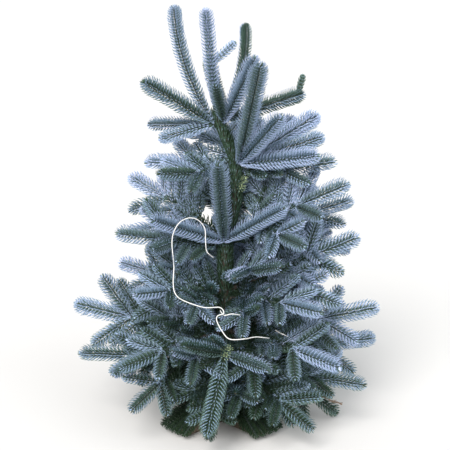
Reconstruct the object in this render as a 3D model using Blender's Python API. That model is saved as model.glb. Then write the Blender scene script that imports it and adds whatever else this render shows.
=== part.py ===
"""A cut noble fir of about one metre on a plain wooden cross stand.

Run with: blender --background --python part.py

Units are metres and +Z is up. The tree stands on the ground plane z = 0, with its trunk's foot over
the origin. Its front faces -Y, and bearings are counted from +X (its right) towards +Y (its back).
Each bough of the lower three whorls is a tapering limb, and a mass of needles starts just past its
tip. Higher up, where needles clothe the boughs from the trunk on, each mass starts at the trunk. A
mass is a set of shoots grown by one seeded rule, each with a flat toothed brush of needles round it,
all joined in one closed solid.
"""

import math
import random

import bmesh
import bpy
import numpy as np
from mathutils import Matrix, Vector
from mathutils.bvhtree import BVHTree

UP = np.array([0.0, 0.0, 1.0])
FRONT = np.array([0.0, -1.0, 0.0])
GAP = 0.0003  # between one solid and the next

# the stand: two boards halved into each other, turned 45 degrees to the tree's front
BOARD_LENGTH = 0.284
BOARD_WIDTH = 0.050
BOARD_THICK = 0.026
BOARD_EDGE = 0.0020  # chamfer along the edges
STAND_TURN = 45.0

# the trunk: height, sideways place, radius
TRUNK = (
    (BOARD_THICK + GAP, 0.000, 0.0190),
    (0.060, 0.001, 0.0165),
    (0.150, 0.004, 0.0155),
    (0.300, 0.008, 0.0135),
    (0.452, 0.006, 0.0115),
    (0.550, 0.030, 0.0095),
    (0.646, 0.032, 0.0080),
    (0.738, -0.007, 0.0062),
    (0.772, -0.017, 0.0050),
)
TRUNK_SIDES = 12

# limbs, and the short bare stems that carry a mass
LIMB_ROOT = 0.0062  # radius
LIMB_TIP = 0.0036
LIMB_COLLAR = 1.3  # swelling where a limb leaves the trunk
LIMB_SIDES = 6
STUB_SIDES = 5
STUB = 0.012  # bare length of stem before the first needles
STUB_RADIUS = 0.42  # of a stem on the trunk, as a part of the trunk's there
STUB_RISE = 30.0  # such a stem leaves the trunk no steeper than this, in degrees
SUNK = 0.006  # how far a shoot's root runs back into the stem that bears it

# the growth rule: spans that the dice choose in, angles in degrees
YEARLY = 0.15  # how much longer each year's growth is than the one before
VARIED = (0.94, 1.10)  # length of a year's growth, as a part of the mean one
WAVER = (-4, 4)  # change of heading from year to year
SPREAD = (42, 56)  # between a twig and the one it leaves
LIFT = (-8, 16)  # of a side twig above the flat of its spray
SHORTER = (0.78, 0.92)  # length of a side twig's growth, as a part of its bearer's
INNER_PLACE = (0.40, 0.60)  # where side shoots sit along a bough's second year
INNER_SPREAD = (46, 60)
INNER_LIFT = (0, 24)
INNER_SHORTER = (0.78, 0.95)

# needles
PLUMP = 0.92  # fullness of the brushes at ground level
PLUMP_RISE = 0.34  # and how much fuller they get with each metre of height
BRUSH_ROOT = 0.0044
BRUSH_DEPTH = 0.78  # half depth of a brush, as a part of its half width
NOTCH = 0.74  # half width between two teeth, as a part of the half width on a tooth
TEETH = ((0.10, 3), (0.15, 4), (math.inf, 6))  # on a side: up to this length of shoot, this many
TOOTH_PARTS = (0.12, 0.86)  # where its notch and its crest are, as parts of a tooth's length
LAST_TOOTH = 0.97  # where the teeth end, as a part of the brush's length
RIDGE_PLACES = (0.0, 0.24, 0.92, 1.0)  # corners of the line above and below the stem
SWELL_ROOT = 0.30  # fullness at the root of a brush
SWELL_RATE = 2.3  # and how fast it grows along it
ROUND_FROM = 0.80  # where the rounding of its tip starts
ROUND_LENGTH = 0.22
TIP_OVER = 0.5  # how far needles pass a young shoot's end, in half widths
AGED_OVER = 0.8  # and how far an older brush runs on into the next, in lengths of a sunk root
CLEAR = 0.0012  # least space kept between the brushes of two masses
FLOOR = 0.006  # nothing grows lower than this
# what is tried, in turn, to fit a shoot in: degrees up or down, and parts of its width and length
SWINGS = (0, 13, -13, 26, -26)
WIDTHS = (1.0, 0.85, 0.7)
LENGTHS = (1.0, 0.82, 0.64)
BEARER_WIDTHS = (1.0, 0.85, 0.7, 0.55, 0.4, 0.25)
WELD = 2e-5
THINNED = 0.64  # part of a mass's triangles that are kept when its slivers are thinned out

# boughs: mass, height on the trunk, bearing, rise, reach, years, lift at each joint, roll of the flat spray
LIMBED = (
    ("low_front", 0.130, 262, -10, 0.25, 3, -6, 0),
    ("low_front_right", 0.150, 311, -9, 0.31, 3, -5, 20),
    ("low_right", 0.130, 343, 4, 0.32, 3, -5, 25),
    ("low_far_right", 0.152, 14, 4, 0.38, 3, -5, 55),
    ("low_back", 0.134, 66, 0, 0.33, 3, -8, 0),
    ("low_back_left", 0.150, 130, 0, 0.32, 3, -8, 0),
    ("low_left", 0.132, 191, 14, 0.345, 3, -5, -28),
    ("lower_front", 0.206, 270, 8, 0.35, 2, -58, -14),
    ("lower_front_right", 0.229, 318, 5, 0.32, 3, -5, 30),
    ("lower_right", 0.211, 2, 11, 0.365, 3, -3, 60),
    ("lower_back", 0.208, 80, 10, 0.35, 3, -6, 0),
    ("lower_back_left", 0.226, 140, 10, 0.36, 3, -6, -10),
    ("lower_left", 0.208, 183, 14, 0.366, 3, -4, -78),
    ("lower_front_left", 0.228, 222, 2, 0.30, 3, -5, -35),
    ("middle_front_right", 0.311, 312, 14, 0.30, 3, -4, 30),
    ("middle_right", 0.330, 350, 26, 0.345, 3, -4, 68),
    ("middle_back_right", 0.314, 42, 23, 0.36, 3, -4, 10),
    ("middle_back", 0.328, 100, 14, 0.33, 3, -4, -5),
    ("middle_left", 0.312, 170, 19, 0.29, 3, -6, -50),
    ("middle_front_left", 0.330, 222, 14, 0.27, 3, -4, -35),
)
UNLIMBED = (
    ("middle_front", 0.352, 302, 28, 0.235, 2, -14, 25),
    ("upper_right", 0.456, 345, 31, 0.33, 3, -3, 40),
    ("upper_back_right", 0.444, 20, 18, 0.335, 3, -5, 25),
    ("upper_back", 0.458, 88, 36, 0.29, 3, -3, 0),
    ("upper_left", 0.464, 156, 29, 0.285, 3, -3, -40),
    ("upper_low_left", 0.438, 200, 14, 0.275, 2, -3, -30),
    ("crown_low_right", 0.622, 357, 6, 0.215, 2, 0, 20),
    ("crown_back_right", 0.646, 50, 20, 0.23, 2, 0, 10),
    ("crown_back_left", 0.640, 110, 24, 0.23, 2, 0, 0),
    ("crown_left", 0.650, 168, -2, 0.20, 2, 0, -20),
    ("crown_low_left", 0.628, 213, 4, 0.21, 2, 0, -30),
)
# single shoots of the last summer: mass, height, bearing, rise, length, half width, sideways bow
YOUNG = (
    ("upper_front", 0.450, 262, 62, 0.245, 0.0235, 0),
    ("upper_front", 0.450, 322, 34, 0.205, 0.0210, 0),
    ("upper_front", 0.450, 212, 24, 0.215, 0.0215, 0),
    ("crown_front", 0.640, 295, 64, 0.280, 0.0245, 0),
    ("crown_front", 0.640, 312, 43, 0.200, 0.0230, 0),
    ("crown_front", 0.640, 336, 12, 0.205, 0.0235, 0),
    ("crown_front", 0.640, 8, 31, 0.222, 0.0235, 0),
    ("crown_front", 0.640, 355, 20, 0.212, 0.0205, 0),
    ("top_left", 0.734, 198, 32, 0.212, 0.0225, 0),
    ("top_left", 0.734, 165, 0, 0.172, 0.0185, 0),
    ("top_left", 0.734, 185, -10, 0.140, 0.0170, 0),
    ("top_left", 0.734, 184, 69, 0.295, 0.0175, -0.019),
    ("top_back", 0.742, 45, 68, 0.240, 0.0150, 0.016),
    ("top_back", 0.742, 30, 13, 0.238, 0.0220, 0),
    ("top_back", 0.742, 100, 40, 0.200, 0.0190, 0),
    ("top_front", 0.738, 315, 56, 0.200, 0.0205, 0),
    ("top_front", 0.738, 352, 64, 0.135, 0.0160, 0),
    ("top_front", 0.738, 262, 58, 0.120, 0.0165, 0),
)
LEADER_LEAN = (-0.09, 0.0, 1.0)
LEADER_LENGTH = 0.232
LEADER_WIDTH = 0.0172
# side shoots up a young one: mass, which of its shoots, place along it, bearing, rise, length, half width
SIDE_SHOOTS = (
    ("leader", 0, 0.44, 20, 40, 0.075, 0.0105),
    ("top_back", 1, 0.94, 15, 74, 0.050, 0.0080),
)


# ---------------------------------------------------------------- the growth rule


def unit(vector):
    return vector / np.linalg.norm(vector)


def turned(vector, about, degrees):
    """The vector turned round a unit axis."""
    angle = math.radians(degrees)
    across = np.cross(about, vector)
    along = about * (about @ vector)
    return vector * math.cos(angle) + across * math.sin(angle) + along * (1 - math.cos(angle))


def heading_of(bearing, rise):
    b, r = math.radians(bearing), math.radians(rise)
    return np.array([math.cos(r) * math.cos(b), math.cos(r) * math.sin(b), math.sin(r)])


def trunk_at(height):
    heights, places, radii = zip(*TRUNK)
    centre = np.array([np.interp(height, heights, places), 0.0, height])
    return centre, float(np.interp(height, heights, radii))


def stub_heading(heading):
    """The heading of a stem that leaves the trunk, levelled out where its shoots rise steeply."""
    level = math.hypot(heading[0], heading[1])
    rise = min(math.degrees(math.atan2(heading[2], level)), STUB_RISE)
    return heading_of(math.degrees(math.atan2(heading[1], heading[0])), rise)


def brush_width(length, height):
    """Half width of a side shoot's brush: longer shoots and higher ones bear longer needles."""
    plump = PLUMP + PLUMP_RISE * height
    return plump * min(0.0225, max(0.0170, 0.0170 + 0.09 * (length - 0.08)))


class Shoot:
    """One summer's growth: a stem from base to tip, with its brush lying flat across upward."""

    def __init__(self, mass, base, tip, upward, age, width, parent=None, bow=0.0):
        self.mass, self.base, self.tip, self.upward = mass, base, tip, upward
        self.age, self.width, self.parent, self.bow = age, width, parent, bow

    def raised(self, degrees):
        """The same shoot raised about its root, across its flat side."""
        way = self.tip - self.base
        tip = self.base + turned(way, unit(np.cross(way, self.upward)), degrees)
        return Shoot(self.mass, self.base, tip, self.upward, self.age, self.width, self.parent, self.bow)


def grow(shoots, mass, start, heading, upward, years, step, lift, dice, parent=None):
    """A twig of so many years: each year a length, and at every older tip two side twigs a year younger.

    The main stem of a bough has two more side shoots part of the way along its second year.
    """
    main = parent is None
    for age in reversed(range(years)):
        length = step * dice.uniform(*VARIED) * (1 + YEARLY * ((years - 1) / 2 - age))
        tip = start + heading * length
        shoot = Shoot(mass, start, tip, upward, age, brush_width(length, tip[2]), parent)
        shoots.append(shoot)
        if main and age == 1 and years > 2:
            for side in (-1, 1):
                foot = start + heading * length * dice.uniform(*INNER_PLACE)
                spread = turned(heading, upward, side * dice.uniform(*INNER_SPREAD))
                spread = turned(spread, unit(np.cross(spread, upward)), dice.uniform(*INNER_LIFT))
                short = step * dice.uniform(*INNER_SHORTER)
                width = brush_width(short, foot[2])
                shoots.append(Shoot(mass, foot, foot + spread * short, upward, 0, width, shoot))
        if age:
            for side in (-1, 1):
                spread = turned(heading, upward, side * dice.uniform(*SPREAD))
                spread = turned(spread, unit(np.cross(spread, upward)), dice.uniform(*LIFT))
                shorter = step * dice.uniform(*SHORTER)
                grow(shoots, mass, tip, spread, upward, age, shorter, lift, dice, shoot)
        across = unit(np.cross(heading, upward))
        heading = turned(heading, across, lift + dice.uniform(*WAVER))
        upward = unit(np.cross(across, heading))
        start, parent = tip, shoot


def young_shoots():
    """The single shoots of the last summer, and the stubs that bear them."""
    shoots, stubs = [], []
    for mass in dict.fromkeys(row[0] for row in YOUNG):
        rows = [row for row in YOUNG if row[0] == mass]
        centre, radius = trunk_at(rows[0][1])
        node = centre + stub_heading(heading_of(rows[0][2], rows[0][3])) * (radius + STUB)
        stubs.append((mass, centre, node))
        for _, _, bearing, rise, length, width, bow in rows:
            heading = heading_of(bearing, rise)
            upward = unit(np.cross(unit(np.cross(heading, UP)), heading))
            shoots.append(Shoot(mass, node, centre + heading * length, upward, 0, width, None, bow))
    top, lean = trunk_at(TRUNK[-1][0])[0], unit(np.array(LEADER_LEAN))
    node = top + UP * STUB
    stubs.append(("leader", top + UP * GAP, node))
    shoots.append(Shoot("leader", node, top + lean * LEADER_LENGTH, FRONT, 0, LEADER_WIDTH))
    for mass, which, place, bearing, rise, length, width in SIDE_SHOOTS:
        bearer = [shoot for shoot in shoots if shoot.mass == mass][which]
        foot = bearer.base + (bearer.tip - bearer.base) * place
        tip = foot + heading_of(bearing, rise) * length
        shoots.append(Shoot(mass, foot, tip, FRONT, 0, width, bearer))
    return shoots, stubs


def grown_tree():
    """All shoots, the limbs as (mass, centre of the trunk, tip), and the stubs as (mass, foot, node)."""
    shoots, limbs, stubs = [], [], []
    for seed, (mass, height, bearing, rise, reach, years, lift, roll) in enumerate(LIMBED + UNLIMBED):
        dice = random.Random(seed)
        centre, radius = trunk_at(height)
        heading = heading_of(bearing, rise)
        across = unit(np.cross(heading, UP))
        upward = turned(unit(np.cross(across, heading)), heading, roll)
        own = []
        grow(own, mass, centre, heading, upward, years, reach / years, lift, dice)
        first = own[0]
        if seed < len(LIMBED):
            foot = first.tip - heading * STUB
            limbs.append((mass, centre, foot))
            stubs.append((mass, foot + heading * GAP, first.tip))
            own.remove(first)
            for shoot in own:
                shoot.parent = None if shoot.parent is first else shoot.parent
        else:
            first.base = centre + stub_heading(heading) * (radius + STUB)
            stubs.append((mass, centre, first.base))
        shoots += own
    young, young_stubs = young_shoots()
    return shoots + young, limbs, stubs + young_stubs


# ---------------------------------------------------------------- meshes


def lofted(rings):
    """A closed tube through rings of equally many points, with a fan over each end."""
    sides = len(rings[0])
    points = [tuple(point) for ring in rings for point in ring]
    faces = [list(range(sides))[::-1], list(range(len(points) - sides, len(points)))]
    for low in range(0, len(points) - sides, sides):
        for side in range(sides):
            after = (side + 1) % sides
            faces.append([low + side, low + after, low + sides + after, low + sides + side])
    return points, faces


def ring_round(centre, along, radius, sides, start=UP):
    """A ring of points round a centre, square to a direction."""
    across = np.cross(along, start)
    if np.linalg.norm(across) < 0.1:
        across = np.cross(along, np.array([1.0, 0.0, 0.0]))
    across = unit(across)
    other = np.cross(along, across)
    angles = [2 * math.pi * k / sides for k in range(sides)]
    return [centre + radius * (across * math.cos(a) + other * math.sin(a)) for a in angles]


def trunk_shape(spare=0.0):
    """The whole trunk, or one swollen by spare, to cut others clear of it."""
    heights = [row[0] for row in TRUNK]
    heights = sorted(heights + [(low + high) / 2 for low, high in zip(heights, heights[1:])])
    rings = []
    for height in heights:
        centre, radius = trunk_at(height)
        centre = centre + UP * (spare if height == heights[-1] else 0)
        turns = [2 * math.pi * k / TRUNK_SIDES for k in range(TRUNK_SIDES)]
        reach = (radius + spare) / (math.cos(math.pi / TRUNK_SIDES) if spare else 1)
        rings.append([centre + reach * np.array([math.cos(a), math.sin(a), 0.0]) for a in turns])
    return lofted(rings)


def limb_shape(centre, tip):
    """A tapering limb from inside the trunk to its tip, with a collar where it leaves the bark."""
    along = unit(tip - centre)
    length = np.linalg.norm(tip - centre)
    out = trunk_at(centre[2])[1]
    rings = []
    for place in (0.0, out + 0.001, out + 0.010, length):
        part = max(0.0, (place - out) / (length - out))
        radius = LIMB_ROOT + (LIMB_TIP - LIMB_ROOT) * part
        radius *= LIMB_COLLAR if place < out + 0.005 else 1.0
        rings.append(ring_round(centre + along * place, along, radius, LIMB_SIDES))
    return lofted(rings)


def stub_shape(foot, node, from_trunk):
    along = unit(node - foot)
    radius = STUB_RADIUS * trunk_at(foot[2])[1] if from_trunk else LIMB_TIP
    end = node + along * 0.5 * SUNK
    rings = [ring_round(foot, along, radius, STUB_SIDES), ring_round(end, along, 0.8 * radius, STUB_SIDES)]
    return lofted(rings)


def zipped(one, other, one_at, other_at):
    """Triangles between two lines of corners that share their first and last, each with its place along."""
    faces, i, j = [], 0, 0
    while i < len(one) - 1 or j < len(other) - 1:
        step_one = j == len(other) - 1 or (i < len(one) - 1 and one_at[i + 1] <= other_at[j + 1])
        after = one[i + 1] if step_one else other[j + 1]
        if len({one[i], other[j], after}) == 3:
            faces.append([one[i], other[j], after])
        i, j = (i + 1, j) if step_one else (i, j + 1)
    return faces


def fullness(part):
    """How full a brush is: slim at the root and rounded at the tip, for a part from 0 to 1 along it."""
    swell = min(1.0, SWELL_ROOT + SWELL_RATE * part)
    return swell * math.sqrt(max(0.0, 1 - max(0.0, (part - ROUND_FROM) / ROUND_LENGTH) ** 2))


def toothed_edge(length, width):
    """The places along one side of a brush and its half widths there: a notch and a crest for each tooth."""
    teeth = next(teeth for longest, teeth in TEETH if length < longest)
    root = min(BRUSH_ROOT, 0.45 * width)
    places, widths = [0.0], [0.0]
    for tooth in range(teeth):
        notch, crest = ((tooth + part) / teeth * LAST_TOOTH for part in TOOTH_PARTS)
        places += [notch, crest]
        widths += [root if tooth == 0 else NOTCH * width * fullness(notch), width * fullness(crest)]
    return places + [1.0], widths + [0.0]


def brush_shape(shoot, wide=1.0, long=1.0, spare=0.0):
    """A flat spindle with teeth down both sides, deepest along its stem, with a blunt tip.

    wide and long scale it, and spare adds to it all round.
    """
    way = (shoot.tip - shoot.base) * long
    length = np.linalg.norm(way)
    along = way / length
    upward = unit(shoot.upward - along * (shoot.upward @ along))
    across = np.cross(along, upward)
    width = shoot.width * wide
    sunk = SUNK / length
    over = (AGED_OVER * SUNK if shoot.age else TIP_OVER * width) / length

    def spot(part, out):
        """A point beside the stem; part runs from 0 at the root to 1 at the tip of the needles."""
        place = part * (1 + over + sunk) - sunk
        bend = 4 * place * (1 - place) * shoot.bow * np.array([1.0, 0.0, 0.0])
        return shoot.base + way * place + bend + out

    edge_places, edge_widths = toothed_edge(length, width)
    ridge_heights = [BRUSH_DEPTH * width * fullness(part) for part in RIDGE_PLACES]
    edge, ridge = (edge_places, edge_widths), (RIDGE_PLACES, ridge_heights)
    points = [spot(0.0, -along * spare), spot(1.0, along * spare)]
    lines = []
    for direction, (places, reaches) in ((across, edge), (upward, ridge), (-across, edge), (-upward, ridge)):
        line = [0]
        for part, reach in zip(places[1:-1], reaches[1:-1]):
            line.append(len(points))
            points.append(spot(part, direction * (reach + spare)))
        lines.append((line + [1], places))
    faces = []
    for (one, one_at), (other, other_at) in zip(lines, lines[1:] + lines[:1]):
        faces += zipped(one, other, one_at, other_at)
    return [tuple(point) for point in points], faces


def tree_of(shape):
    return BVHTree.FromPolygons([Vector(point) for point in shape[0]], shape[1])


def box_of(shape):
    points = np.array(shape[0])
    return points.min(0), points.max(0)


class Space:
    """What is taken so far: each solid's surface, with the mass it belongs to."""

    def __init__(self):
        self.taken = []

    def add(self, owner, shape):
        self.taken.append((owner, tree_of(shape), *box_of(shape)))

    def free(self, owner, shape):
        low, high = box_of(shape)
        if low[2] < FLOOR:
            return False
        surface = None
        for other, tree, other_low, other_high in self.taken:
            if other == owner or (low > other_high).any() or (high < other_low).any():
                continue
            surface = surface or tree_of(shape)
            if tree.overlap(surface):
                return False
        return True


def fitted(space, shoot):
    """The shoot's brush at its fullest that stays clear of every other solid, or None.

    A shoot that bears others keeps its place and may only be slimmer. Another may also be raised,
    lowered or shorter.
    """
    swings, wides, longs = ((0,), BEARER_WIDTHS, (1.0,)) if shoot.age else (SWINGS, WIDTHS, LENGTHS)
    for long in longs:
        for swing in swings:
            moved = shoot.raised(swing)
            for wide in wides:
                if space.free(moved.mass, brush_shape(moved, wide, long, CLEAR)):
                    return brush_shape(moved, wide, long)
    return None


# ---------------------------------------------------------------- objects


def material(name, colour, roughness):
    made = bpy.data.materials.new(name)
    made.use_nodes = True
    made.diffuse_color = (*colour, 1.0)
    shader = made.node_tree.nodes["Principled BSDF"]
    shader.inputs["Base Color"].default_value = (*colour, 1.0)
    shader.inputs["Roughness"].default_value = roughness
    return made


def mesh_of(name, shape):
    mesh = bpy.data.meshes.new(name)
    mesh.from_pydata(shape[0], [], shape[1])
    shaped = bmesh.new()
    shaped.from_mesh(mesh)
    bmesh.ops.recalc_face_normals(shaped, faces=shaped.faces)
    bmesh.ops.triangulate(shaped, faces=[face for face in shaped.faces if len(face.verts) > 3])
    shaped.to_mesh(mesh)
    shaped.free()
    return mesh


def new_object(name, shape, holder=None):
    made = bpy.data.objects.new(name, mesh_of(name, shape))
    (holder or bpy.context.scene.collection).objects.link(made)
    return made


def applied(target):
    """Puts the result of the object's modifiers in place of its mesh."""
    bpy.context.view_layer.update()
    shown = target.evaluated_get(bpy.context.evaluated_depsgraph_get())
    old = target.data
    target.data = bpy.data.meshes.new_from_object(shown)
    target.modifiers.clear()
    bpy.data.meshes.remove(old)


def cut_clear(target, cutter):
    """Takes the space of the cutter out of the target."""
    cut = target.modifiers.new("clear", "BOOLEAN")
    cut.operation, cut.solver, cut.object = "DIFFERENCE", "EXACT", cutter
    applied(target)


def bodies(mesh):
    """The mesh's separate bodies, as lists of faces, the largest first."""
    left, found = set(mesh.faces), []
    while left:
        body, edge = [], [left.pop()]
        while edge:
            face = edge.pop()
            body.append(face)
            for rim in face.edges:
                for beside in rim.link_faces:
                    if beside in left:
                        left.discard(beside)
                        edge.append(beside)
        found.append(body)
    return sorted(found, key=lambda faces: -sum(face.calc_area() for face in faces))


def welded(mesh):
    """A copy of the mesh with its slivers welded away."""
    copy = mesh.copy()
    bmesh.ops.remove_doubles(copy, verts=copy.verts, dist=WELD)
    bmesh.ops.dissolve_degenerate(copy, edges=copy.edges, dist=WELD)
    bmesh.ops.triangulate(copy, faces=[face for face in copy.faces if len(face.verts) > 3])
    return copy


def one_body(mesh):
    """Drops every body but the largest, and says whether what is left is closed."""
    scraps = [face for body in bodies(mesh)[1:] for face in body]
    if scraps:
        bmesh.ops.delete(mesh, geom=scraps, context="FACES")
    loose = [corner for corner in mesh.verts if not corner.link_faces]
    bmesh.ops.delete(mesh, geom=loose, context="VERTS")
    return len(mesh.faces) > 0 and all(rim.is_manifold for rim in mesh.edges)


def cleaned(target):
    """Makes the object one closed body, welded where that keeps it closed. False if it can't be."""
    mesh = bmesh.new()
    mesh.from_mesh(target.data)
    bmesh.ops.triangulate(mesh, faces=[face for face in mesh.faces if len(face.verts) > 3])
    tries = (welded(mesh), mesh)
    closed = False
    for tried in tries:
        closed = closed or one_body(tried)
        if closed:
            tried.normal_update()
            tried.to_mesh(target.data)
            break
    for tried in tries:
        tried.free()
    return closed


def joined(name, shapes, solver="EXACT"):
    """One solid: the union of these closed shapes."""
    holder = bpy.data.collections.new(name + "_shapes")
    bpy.context.scene.collection.children.link(holder)
    first = new_object(name, shapes[0])
    for count, shape in enumerate(shapes[1:]):
        new_object(f"{name}_shape_{count}", shape, holder)
    union = first.modifiers.new("join", "BOOLEAN")
    union.operation, union.operand_type, union.solver = "UNION", "COLLECTION", solver
    union.collection = holder
    applied(first)
    for used in list(holder.objects):
        old = used.data
        bpy.data.objects.remove(used)
        bpy.data.meshes.remove(old)
    bpy.data.collections.remove(holder)
    return first


def thinned(target):
    """Thins out the slivers along the seams of a union, if that leaves it closed."""
    whole = target.data.copy()
    thin = target.modifiers.new("thin", "DECIMATE")
    thin.ratio = THINNED
    applied(target)
    if not cleaned(target):
        target.data = whole


def volume_of(target):
    mesh = bmesh.new()
    mesh.from_mesh(target.data)
    volume = mesh.calc_volume(signed=True)
    mesh.free()
    return volume


def mass_of_needles(name, stub, shapes):
    """The stub and brushes of one mass as one closed body, with fewer brushes if they won't join."""
    for count in range(len(shapes), 0, -1):
        for solver in ("EXACT", "MANIFOLD"):
            made = joined(name, [stub] + shapes[:count], solver)
            if cleaned(made) and volume_of(made) > 0:
                thinned(made)
                return made
            bpy.data.objects.remove(made)
    return new_object(name, stub)


def dressed(target, paint, smooth=False):
    target.data.materials.clear()
    target.data.materials.append(paint)
    target.data.polygons.foreach_set("use_smooth", [smooth] * len(target.data.polygons))
    target.data.polygons.foreach_set("material_index", [0] * len(target.data.polygons))
    if smooth:
        target.data.set_sharp_from_angle(angle=math.radians(50))
    return target


def board(name, turn, halved_above, paint):
    """One board of the stand, with half its depth taken out where the other crosses it."""
    half, side, lap = BOARD_LENGTH / 2, BOARD_WIDTH / 2, BOARD_WIDTH / 2 + GAP
    middle = BOARD_THICK / 2
    if halved_above:
        outline = ((-half, 0), (half, 0), (half, BOARD_THICK), (lap, BOARD_THICK), (lap, middle),
                   (-lap, middle), (-lap, BOARD_THICK), (-half, BOARD_THICK))
    else:
        over = middle + GAP
        outline = ((-half, 0), (-lap, 0), (-lap, over), (lap, over), (lap, 0), (half, 0),
                   (half, BOARD_THICK), (-half, BOARD_THICK))
    mesh = bmesh.new()
    face = mesh.faces.new([mesh.verts.new((x, -side, z)) for x, z in outline])
    grown = bmesh.ops.extrude_face_region(mesh, geom=[face])["geom"]
    moved = [corner for corner in grown if isinstance(corner, bmesh.types.BMVert)]
    bmesh.ops.translate(mesh, verts=moved, vec=(0, 2 * side, 0))
    bmesh.ops.recalc_face_normals(mesh, faces=mesh.faces)
    ends = [rim for rim in mesh.edges if all(abs(abs(corner.co.x) - half) < 1e-6 for corner in rim.verts)]
    bmesh.ops.bevel(mesh, geom=ends, offset=BOARD_EDGE, segments=1, affect="EDGES")
    bmesh.ops.triangulate(mesh, faces=mesh.faces)
    bmesh.ops.rotate(mesh, verts=mesh.verts, matrix=Matrix.Rotation(math.radians(turn), 3, "Z"))
    data = bpy.data.meshes.new(name)
    mesh.to_mesh(data)
    mesh.free()
    made = bpy.data.objects.new(name, data)
    bpy.context.scene.collection.objects.link(made)
    return dressed(made, paint)


def build():
    for old in list(bpy.data.objects):
        bpy.data.objects.remove(old)
    bark = material("bark", (0.20, 0.14, 0.10), 0.85)
    needles = material("needles", (0.22, 0.31, 0.36), 0.60)
    wood = material("wood", (0.55, 0.40, 0.24), 0.65)

    space = Space()
    boards = (("stand_lower_board", STAND_TURN, True), ("stand_upper_board", STAND_TURN + 90, False))
    for name, turn, halved_above in boards:
        made = board(name, turn, halved_above, wood)
        corners = [tuple(corner.co) for corner in made.data.vertices]
        space.add("stand", (corners, [list(face.vertices) for face in made.data.polygons]))

    trunk = dressed(new_object("trunk", trunk_shape()), bark, smooth=True)
    cutter = new_object("cutter", trunk_shape(GAP))
    space.add("trunk", trunk_shape())
    shoots, limbs, stubs = grown_tree()
    for mass, centre, tip in limbs:
        made = new_object("bough_" + mass, limb_shape(centre, tip))
        cut_clear(made, cutter)
        cleaned(made)
        dressed(made, bark, smooth=True)
        space.add("bough_" + mass, limb_shape(centre + (tip - centre) * 0.1, tip))

    stems = {}
    for mass, foot, node in stubs:
        from_trunk = mass not in {limb[0] for limb in limbs} and mass != "leader"
        stub = new_object("stub_" + mass, stub_shape(foot, node, from_trunk))
        if from_trunk:
            cut_clear(stub, cutter)
        corners = [tuple(corner.co) for corner in stub.data.vertices]
        stems[mass] = (corners, [list(face.vertices) for face in stub.data.polygons])
        bpy.data.objects.remove(stub)
        if not space.free(mass, stems[mass]):
            print("stub touches another solid:", mass)
        space.add(mass, stems[mass])

    brushes = {mass: [] for mass in stems}
    placed = set()
    for shoot in sorted(shoots, key=lambda shoot: -shoot.age):
        if shoot.parent is not None and shoot.parent not in placed:
            continue
        shape = fitted(space, shoot)
        if shape:
            placed.add(shoot)
            brushes[shoot.mass].append(shape)
            space.add(shoot.mass, shape)

    for mass, shapes in brushes.items():
        made = mass_of_needles("needles_" + mass, stems[mass], shapes)
        dressed(made, needles)
    bpy.data.objects.remove(cutter)
    total = sum(len(made.data.polygons) for made in bpy.data.objects)
    print("nodes", len(bpy.data.objects), "faces", total, "shoots", len(placed), "of", len(shoots))


build()
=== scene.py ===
"""The looks of a cut noble fir of about one metre on its cross stand.

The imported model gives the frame. Its growth rule is written again here, so that the same shoots grow
from the same limbs, and is carried on to finer twigs and to every needle. Units are metres, +Z is up
and the tree's front faces -Y. Bearings are counted from +X towards +Y, in degrees.
"""

import math
import random

import bpy
import numpy as np
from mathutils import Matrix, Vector, noise
from mathutils.bvhtree import BVHTree


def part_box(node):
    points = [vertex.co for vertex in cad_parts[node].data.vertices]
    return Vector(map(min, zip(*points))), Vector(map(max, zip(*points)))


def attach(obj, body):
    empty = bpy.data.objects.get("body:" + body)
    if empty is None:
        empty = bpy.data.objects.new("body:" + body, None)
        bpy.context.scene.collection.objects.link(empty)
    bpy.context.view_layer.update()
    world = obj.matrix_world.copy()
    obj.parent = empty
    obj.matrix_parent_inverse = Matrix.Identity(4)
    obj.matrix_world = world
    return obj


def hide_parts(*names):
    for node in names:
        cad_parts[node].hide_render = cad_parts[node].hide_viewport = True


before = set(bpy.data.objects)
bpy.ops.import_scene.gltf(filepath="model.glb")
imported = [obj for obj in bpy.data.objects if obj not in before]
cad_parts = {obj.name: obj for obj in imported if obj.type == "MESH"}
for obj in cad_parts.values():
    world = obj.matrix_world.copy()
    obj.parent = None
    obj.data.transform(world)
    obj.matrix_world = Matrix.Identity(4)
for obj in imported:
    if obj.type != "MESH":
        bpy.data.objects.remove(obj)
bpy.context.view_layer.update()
BODY = "root"

UP = np.array([0.0, 0.0, 1.0])
FRONT = np.array([0.0, -1.0, 0.0])
RIGHT = np.array([1.0, 0.0, 0.0])
GAP = 0.0003  # between the boards and the trunk's foot

# ---- the driving dimensions of the tree, as its source has them

BOARD_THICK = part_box("stand_lower_board")[1].z
# the trunk: height, sideways place, radius
TRUNK = (
    (BOARD_THICK + GAP, 0.000, 0.0190),
    (0.060, 0.001, 0.0165),
    (0.150, 0.004, 0.0155),
    (0.300, 0.008, 0.0135),
    (0.452, 0.006, 0.0115),
    (0.550, 0.030, 0.0095),
    (0.646, 0.032, 0.0080),
    (0.738, -0.007, 0.0062),
    (0.772, -0.017, 0.0050),
)
LIMB_ROOT = 0.0062  # radius
LIMB_TIP = 0.0036
STUB = 0.012  # bare length of stem before the first needles
STUB_RISE = 30.0  # such a stem leaves the trunk no steeper than this
PLUMP = 0.92  # fullness of the brushes at ground level
PLUMP_RISE = 0.34  # and how much fuller they get with each metre of height
BRUSH_WIDTHS = (0.0170, 0.0225)  # least and greatest half width of a side shoot's brush
BRUSH_WIDENS = (0.08, 0.09)  # it widens from this length on, by this part of what is over it
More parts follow.
